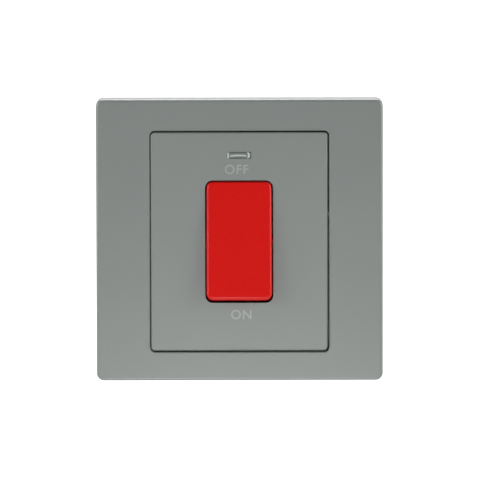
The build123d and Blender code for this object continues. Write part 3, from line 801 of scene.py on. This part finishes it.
def thread_points(core, crest, pitch, start, end, steps):
    """Points of a screw thread along y, in rows round a helix.

    The height along the axis is the start plus the pitch times the turns made. Across the ridge the radius
    rises from just inside the core to the crest and falls back, as a rounded V, and at both ends the whole
    ridge sinks into the core over half a turn.
    """
    root = core * 0.985
    turns = (end - start) / pitch - 1
    turn = np.linspace(0, turns, int(turns * steps) + 1)
    # Across the ridge: each point's place, as a share of the pitch, and its share of the rise to the crest
    ridge = np.array([-0.46, -0.1, 0.1, 0.46])
    rise = np.array([0.0, 1.0, 1.0, 0.0])
    fade = np.clip(np.minimum(turn, turns - turn) / 0.5, 0, 1)
    radius = root + (crest - root) * fade[:, None] * rise
    angle = 2 * np.pi * turn[:, None] + np.zeros(4)
    along = start + pitch * (turn[:, None] + 0.5 + ridge)
    return np.stack([radius * np.cos(angle), along, radius * np.sin(angle)], axis=-1)


def coil_path(radius, front, rear, closed, turns, steps):
    """Middle line of a compression spring about the y axis.

    The angle grows evenly. The height rises by `closed` in the first turn and in the last, where the wire
    lies against itself, and evenly in the turns between them.
    """
    turn = np.linspace(0, turns, turns * steps + 1)
    along = np.interp(turn, [0, 1, turns - 1, turns], [front, front + closed, rear - closed, rear])
    angle = 2 * np.pi * turn
    return np.column_stack([radius * np.cos(angle), along, radius * np.sin(angle)])


def tube_points(path, radius, steps, across):
    """Points of a round tube: at each point of the path, a circle square to the path's direction.

    `across` is a direction that the path never follows; it sets where each circle starts.
    """
    direction = np.gradient(path, axis=0)
    direction /= np.linalg.norm(direction, axis=1, keepdims=True)
    side = np.cross(direction, across)
    side /= np.linalg.norm(side, axis=1, keepdims=True)
    other = np.cross(direction, side)
    angle = np.linspace(0, 2 * np.pi, steps, endpoint=False)
    ring = np.cos(angle)[None, :, None] * side[:, None] + np.sin(angle)[None, :, None] * other[:, None]
    return path[:, None] + np.broadcast_to(radius, len(path))[:, None, None] * ring


# Operators, one for each piece or group of like pieces


class SWITCH_OT_surround(bpy.types.Operator):
    """Metallic silver-grey paint on the clip-on surround"""

    bl_idname = "switch.surround"
    bl_label = "Surround"

    def execute(self, context):
        material = moulded(
            "surround_paint", context.scene.switch_colours.surround, grain=5200.0, low=0.36, high=0.46,
            bump=0.22, drift=0.05, Metallic=0.35, Coat_Weight=0.12, Coat_Roughness=0.3,
        )
        dress("outer_frame", material)
        return {"FINISHED"}


class SWITCH_OT_fascia(bpy.types.Operator):
    """Metallic silver-grey paint on the fascia, with a painted highlight on its slanted edges"""

    bl_idname = "switch.fascia"
    bl_label = "Fascia"

    def execute(self, context):
        material = moulded(
            "fascia_paint", context.scene.switch_colours.fascia, grain=5200.0, low=0.38, high=0.48, bump=0.2,
            painted_light=context.scene.switch_wear.fascia_edge_highlight, Metallic=0.35, Coat_Weight=0.1, Coat_Roughness=0.3,
        )
        dress("cover_plate", material)
        return {"FINISHED"}


class SWITCH_OT_marks(bpy.types.Operator):
    """Raised words above and below the rocker, of the fascia's own finish, in a lighter tone of its paint
    that is a painted highlight
    """

    bl_idname = "switch.marks"
    bl_label = "Raised words"

    def execute(self, context):
        marks = context.scene.switch_marks
        # Painted highlight: a lighter copy of the fascia's paint for the raised letters
        paint = np.array(context.scene.switch_colours.fascia) * marks.tone
        material = moulded(
            "word_painted_highlight", tuple(paint), grain=5200.0, low=0.34, high=0.44, bump=0.1, Metallic=0.35,
            Coat_Weight=0.1, Coat_Roughness=0.3,
        )
        words = {
            "word_upper": (marks.upper_word, marks.upper_centre),
            "word_lower": (marks.lower_word, marks.lower_centre),
        }
        for name, (word, centre) in words.items():
            piece = letters(name, word, centre, marks)
            piece.data.materials.append(material)
            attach(piece, "base")
        return {"FINISHED"}


class SWITCH_OT_rocker(bpy.types.Operator):
    """Red semi-gloss moulding of the rocker, with a painted highlight on its slanted edges and a painted
    shadow line at its upper end
    """

    bl_idname = "switch.rocker"
    bl_label = "Rocker"

    def execute(self, context):
        painted_light = context.scene.switch_wear
        material = moulded(
            "rocker_red", context.scene.switch_colours.rocker, grain=2600.0, low=0.26, high=0.36, bump=0.08,
            drift=0.03, painted_light=painted_light.rocker_edge_highlight, Specular_IOR_Level=0.12, Coat_Weight=0.12,
            Coat_Roughness=0.08,
        )
        # Painted shadow: a dark line at the rocker's upper end, where the fascia's edge shades it as that end
        # sinks under the fascia
        painted_shadow_end(material, rocker_top - painted_light.shadow_start, rocker_top - painted_light.shadow_end, painted_light.shadow_tone)
        dress("rocker", material)
        return {"FINISHED"}


class SWITCH_OT_indicator(bpy.types.Operator):
    """Clear lens, glass lamp, resistor and wires"""

    bl_idname = "switch.indicator"
    bl_label = "Indicator"

    def execute(self, context):
        colours = context.scene.switch_colours
        dress("neon_lens", lens_material("lens_with_painted_light", colours.lens_painted_shade, colours.lens_painted_highlight))
        dress("neon_lamp", clear("lamp_glass", colours.lamp_glass, roughness=0.02, ior=1.5))
        wire = metal(
            "lead_wire", colours.lead_wire, stretch=(700.0, 700.0, 700.0), low=0.25, high=0.45, bump=0.1,
            tarnish=0.15,
        )
        for name in ("lamp_lead_upper", "lamp_lead_lower", "lamp_lead_left"):
            dress(name, wire)
        dress("lamp_resistor", banded("resistor_lacquer", colours.lacquer))

        nickel = metal(
            "electrode_nickel", colours.electrode, stretch=(500.0, 2500.0, 2500.0), low=0.3, high=0.45,
            bump=0.1, tarnish=0.1,
        )
        for name, side in {"upper": 1, "lower": -1}.items():
            self.electrode(context.scene.switch_lamp, name, side, nickel)
        return {"FINISHED"}

    def electrode(self, lamp, name, side, nickel):
        """A straight rod beside the lamp's axis, a tube along a line."""
        rows = lamp.electrode_rows
        reach = lamp.electrode_share * (lamp_high.x - lamp_low.x)
        axis_y = (lamp_low.y + lamp_high.y) / 2
        axis_z = (lamp_low.z + lamp_high.z) / 2
        path = np.column_stack([
            np.linspace(lamp_high.x - lamp.electrode_gap, lamp_high.x - reach, rows),
            np.full(rows, axis_y),
            np.full(rows, axis_z + side * lamp.electrode_spread),
        ])
        points = tube_points(path, lamp.electrode_radius, lamp.electrode_faces, (0, 0, 1))
        rod = grid_mesh(f"lamp_electrode_{name}", points, closed=True, caps=(0, -1))
        rod.data.materials.append(nickel)
        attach(rod, "base")


class SWITCH_OT_mechanism(bpy.types.Operator):
    """Springs, plungers, contact arms, strips and contacts"""

    bl_idname = "switch.mechanism"
    bl_label = "Mechanism"

    def execute(self, context):
        colours = context.scene.switch_colours
        copper = metal(
            "copper_strip", colours.copper, stretch=(1400.0, 300.0, 90.0), low=0.18, high=0.38, bump=0.2,
            tarnish=0.3,
        )
        silver = metal(
            "contact_silver", colours.silver, stretch=(600.0, 600.0, 600.0), low=0.15, high=0.3, bump=0.1,
            tarnish=0.12,
        )
        nylon = moulded(
            "plunger_nylon", colours.nylon, grain=2400.0, low=0.35, high=0.5, bump=0.1, drift=0.06,
            Subsurface_Weight=0.2, Subsurface_Radius=(0.002, 0.002, 0.0015),
        )
        wire = metal(
            "spring_wire", colours.spring_wire, stretch=(900.0, 900.0, 900.0), low=0.2, high=0.35, bump=0.1,
        )
        for side in sides:
            for kind in ("contact_arm", "supply_bar", "load_bar"):
                dress(f"{kind}_{side}", copper)
            for kind in ("moving_tip", "fixed_tip"):
                dress(f"{kind}_{side}", silver)
            dress(f"plunger_{side}", nylon)
            self.coil(context.scene.switch_springs, side, wire)
        return {"FINISHED"}

    def coil(self, springs, side, wire):
        """A round wire spring in place of the CAD one, riding on the rocker."""
        joint = f"plunger_{side}_slide"
        slide = joints[joint]
        axis = np.array(slide["axis"])
        low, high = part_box(f"spring_{side}")
        pivot = np.array([(low.x + high.x) / 2, *joints["rocker_hinge"]["pos_m"][1:]])
        closed = springs.closed_rise * springs.wire_radius
        path = coil_path(
            springs.coil_radius, springs.front_end, springs.rear_end, closed, springs.turns, springs.steps,
        )
        points = tube_points(path, springs.wire_radius, springs.faces, (0, 1, 0))
        slide_axes = np.array([(1, 0, 0), axis, np.cross((1, 0, 0), axis)])
        piece = grid_mesh(f"coil_{side}", pivot + points @ slide_axes, closed=True, caps=(0, -1))
        piece.data.materials.append(wire)
        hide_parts(f"spring_{side}")
        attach(piece, "rocker")
        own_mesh(piece)


class SWITCH_OT_terminals(bpy.types.Operator):
    """Brass terminal blocks and their clamp screws"""

    bl_idname = "switch.terminals"
    bl_label = "Terminals"

    def execute(self, context):
        colours = context.scene.switch_colours
        threads = context.scene.switch_threads
        brass = metal(
            "terminal_brass", colours.brass, stretch=(1600.0, 200.0, 1600.0), low=0.16, high=0.34, bump=0.2,
            tarnish=0.25,
        )
        steel = metal("screw_steel", colours.screw_steel, stretch=(1500.0, 260.0, 1500.0), low=0.2, high=0.36)
        for side in sides:
            for circuit in circuits:
                dress(f"terminal_block_{circuit}_{side}", brass)
                dress(f"terminal_screw_{circuit}_{side}", steel)
                self.terminal_thread(threads, circuit, side, steel)
        dress("housing_screws", steel)
        self.housing_threads(threads, steel)
        return {"FINISHED"}

    def terminal_thread(self, threads, circuit, side, steel):
        """The thread of one clamp screw, from its tip to the plain part below the slot."""
        low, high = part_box(f"terminal_screw_{circuit}_{side}")
        points = thread_points(
            threads.terminal_core, threads.terminal_crest, threads.terminal_pitch, low.y,
            high.y - threads.terminal_plain, threads.steps,
        )
        points += np.array([(low.x + high.x) / 2, 0, (low.z + high.z) / 2])
        piece = grid_mesh(f"thread_{circuit}_{side}", points)
        self.finish(piece, steel, f"terminal_screw_{circuit}_{side}")

    def housing_threads(self, threads, steel):
        """The threads of the four screws, one in each corner of the box round them all."""
        low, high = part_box("housing_screws")
        head = threads.housing_head
        points = thread_points(
            threads.housing_core, threads.housing_crest, threads.housing_pitch, low.y,
            low.y + threads.housing_length, threads.steps,
        )
        for row, z in {"upper": high.z - head, "lower": low.z + head}.items():
            for side, x in {"left": low.x + head, "right": high.x - head}.items():
                piece = grid_mesh(f"thread_housing_{row}_{side}", points + np.array([x, 0, z]))
                self.finish(piece, steel, "base")

    def finish(self, piece, material, body):
        """Gives a thread its material and lets it ride on its screw's body."""
        piece.data.materials.append(material)
        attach(piece, body)


class SWITCH_OT_housing(bpy.types.Operator):
    """Thermoset moulding of the rear housing"""

    bl_idname = "switch.housing"
    bl_label = "Rear housing"

    def execute(self, context):
        material = moulded(
            "housing_thermoset", context.scene.switch_colours.housing, grain=1500.0, low=0.42, high=0.58,
            bump=0.35, drift=0.06,
        )
        dress("rear_housing", material)
        return {"FINISHED"}


class SWITCH_OT_stage(bpy.types.Operator):
    """Floor, white surroundings, soft lights and the camera"""

    bl_idname = "switch.stage"
    bl_label = "Stage"

    def execute(self, context):
        scene = context.scene
        stage = scene.switch_stage
        scene.view_settings.view_transform = "Standard"
        scene.view_settings.look = "None"
        self.floor(stage)
        self.surroundings(scene, stage)
        self.camera(scene, stage)
        self.lights(scene, stage)
        return {"FINISHED"}

    def floor(self, stage):
        """A flat square below the switch, white to the camera and a dim source of light."""
        half = stage.floor_reach
        corners = [(-half, -half), (half, -half), (half, half), (-half, half)]
        mesh = bpy.data.meshes.new("floor")
        mesh.from_pydata([(x, y, stage.floor_height) for x, y in corners], [], [(0, 1, 2, 3)])
        floor = new_piece("floor", mesh)
        material, tree, shader = new_material("floor_pale")
        uneven = noise(tree, object_place(tree), scale=6.0)
        tree.links.new(spread(tree, uneven, 0.75, 0.85), shader.inputs["Roughness"])
        set_values(shader, Base_Color=(0.6, 0.6, 0.6), Emission_Color=(1.0, 1.0, 1.0))
        tree.links.new(self.seen_or_not(tree, 0.15, 1.0), shader.inputs["Emission Strength"])
        floor.data.materials.append(material)

    def surroundings(self, scene, stage):
        """Even light, stronger from behind, and plain white to the camera."""
        full_behind = 0.5
        world = bpy.data.worlds.new("surroundings")
        scene.world = world
        world.use_nodes = True
        tree = world.node_tree
        background = tree.nodes["Background"]
        background.inputs["Color"].default_value = (1.0, 1.0, 1.0, 1.0)
        backwards = axes(tree, tree.nodes.new("ShaderNodeTexCoord").outputs["Generated"])["Y"]
        light = ranged(tree, backwards, 0.0, full_behind, stage.fill, stage.backdrop)
        strength = maths(tree, "MAXIMUM", light, self.seen_or_not(tree, 0.0, 1.0))
        tree.links.new(strength, background.inputs["Strength"])

    def camera(self, scene, stage):
        """A long lens that looks a little down at the fascia."""
        target = Vector((stage.aim[0], fascia_front, stage.aim[1]))
        camera_data = bpy.data.cameras.new("camera")
        camera = bpy.data.objects.new("camera", camera_data)
        scene.collection.objects.link(camera)
        away = Vector((0, -math.cos(stage.elevation), math.sin(stage.elevation)))
        camera.location = target + away * stage.distance
        roll = Quaternion((0, 0, 1), -stage.roll)
        camera.rotation_euler = (away.to_track_quat("Z", "Y") @ roll).to_euler()
        camera_data.sensor_width = 36.0
        camera_data.lens = camera_data.sensor_width * stage.distance / stage.field
        camera_data.clip_start = 0.01
        camera_data.clip_end = 120.0
        scene.camera = camera

    def lights(self, scene, stage):
        """Four round lights that face the rocker's axis."""
        right = Vector(stage.side_place)
        left = Vector((-right.x, right.y, right.z))
        lights = {
            "top_light": (Vector(stage.top_place), stage.top_width, stage.top_power),
            "left_light": (left, stage.side_width, stage.side_power),
            "right_light": (right, stage.side_width, stage.side_power),
            "front_light": (Vector(stage.front_place), stage.front_width, stage.front_power),
        }
        for name, (place, width, power) in lights.items():
            data = bpy.data.lights.new(name, "AREA")
            data.shape = "DISK"
            data.size = width
            data.energy = power
            light = bpy.data.objects.new(name, data)
            light.location = place
            light.rotation_euler = (-place).to_track_quat("-Z", "Y").to_euler()
            scene.collection.objects.link(light)

    def seen_or_not(self, tree, unseen, seen):
        """One value for what the camera sees directly and another for the light that it gives."""
        path = tree.nodes.new("ShaderNodeLightPath")
        return ranged(tree, path.outputs["Is Camera Ray"], 0.0, 1.0, unseen, seen)


class SWITCH_PT_panel(bpy.types.Panel):
    """Lists the switch's pieces and its stage"""

    bl_idname = "SWITCH_PT_panel"
    bl_label = "Double Pole Switch"
    bl_space_type = "VIEW_3D"
    bl_region_type = "UI"
    bl_category = "Switch"

    def draw(self, context):
        column = self.layout.column()
        for operator in operators:
            column.operator(operator.bl_idname)


property_groups = {
    "switch_colours": SwitchColours,
    "switch_marks": SwitchMarks,
    "switch_threads": SwitchThreads,
    "switch_springs": SwitchSprings,
    "switch_lamp": SwitchLamp,
    "switch_wear": SwitchPaintedLight,
    "switch_stage": SwitchStage,
}
operators = (
    SWITCH_OT_surround,
    SWITCH_OT_fascia,
    SWITCH_OT_marks,
    SWITCH_OT_rocker,
    SWITCH_OT_indicator,
    SWITCH_OT_mechanism,
    SWITCH_OT_terminals,
    SWITCH_OT_housing,
    SWITCH_OT_stage,
)


def register():
    """Registers the classes and hangs the settings on the scene."""
    for name, group in property_groups.items():
        bpy.utils.register_class(group)
        setattr(bpy.types.Scene, name, PointerProperty(type=group))
    for operator in operators:
        bpy.utils.register_class(operator)
    bpy.utils.register_class(SWITCH_PT_panel)


def unregister():
    """Takes the classes and the settings away again."""
    bpy.utils.unregister_class(SWITCH_PT_panel)
    for operator in reversed(operators):
        bpy.utils.unregister_class(operator)
    for name, group in property_groups.items():
        delattr(bpy.types.Scene, name)
        bpy.utils.unregister_class(group)


def main():
    """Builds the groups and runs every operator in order."""
    register()
    grain_group()
    edge_highlight_group()
    brush_group()
    for operator in operators:
        section, name = operator.bl_idname.split(".")
        getattr(getattr(bpy.ops, section), name)()


if __name__ == "__main__":
    main()
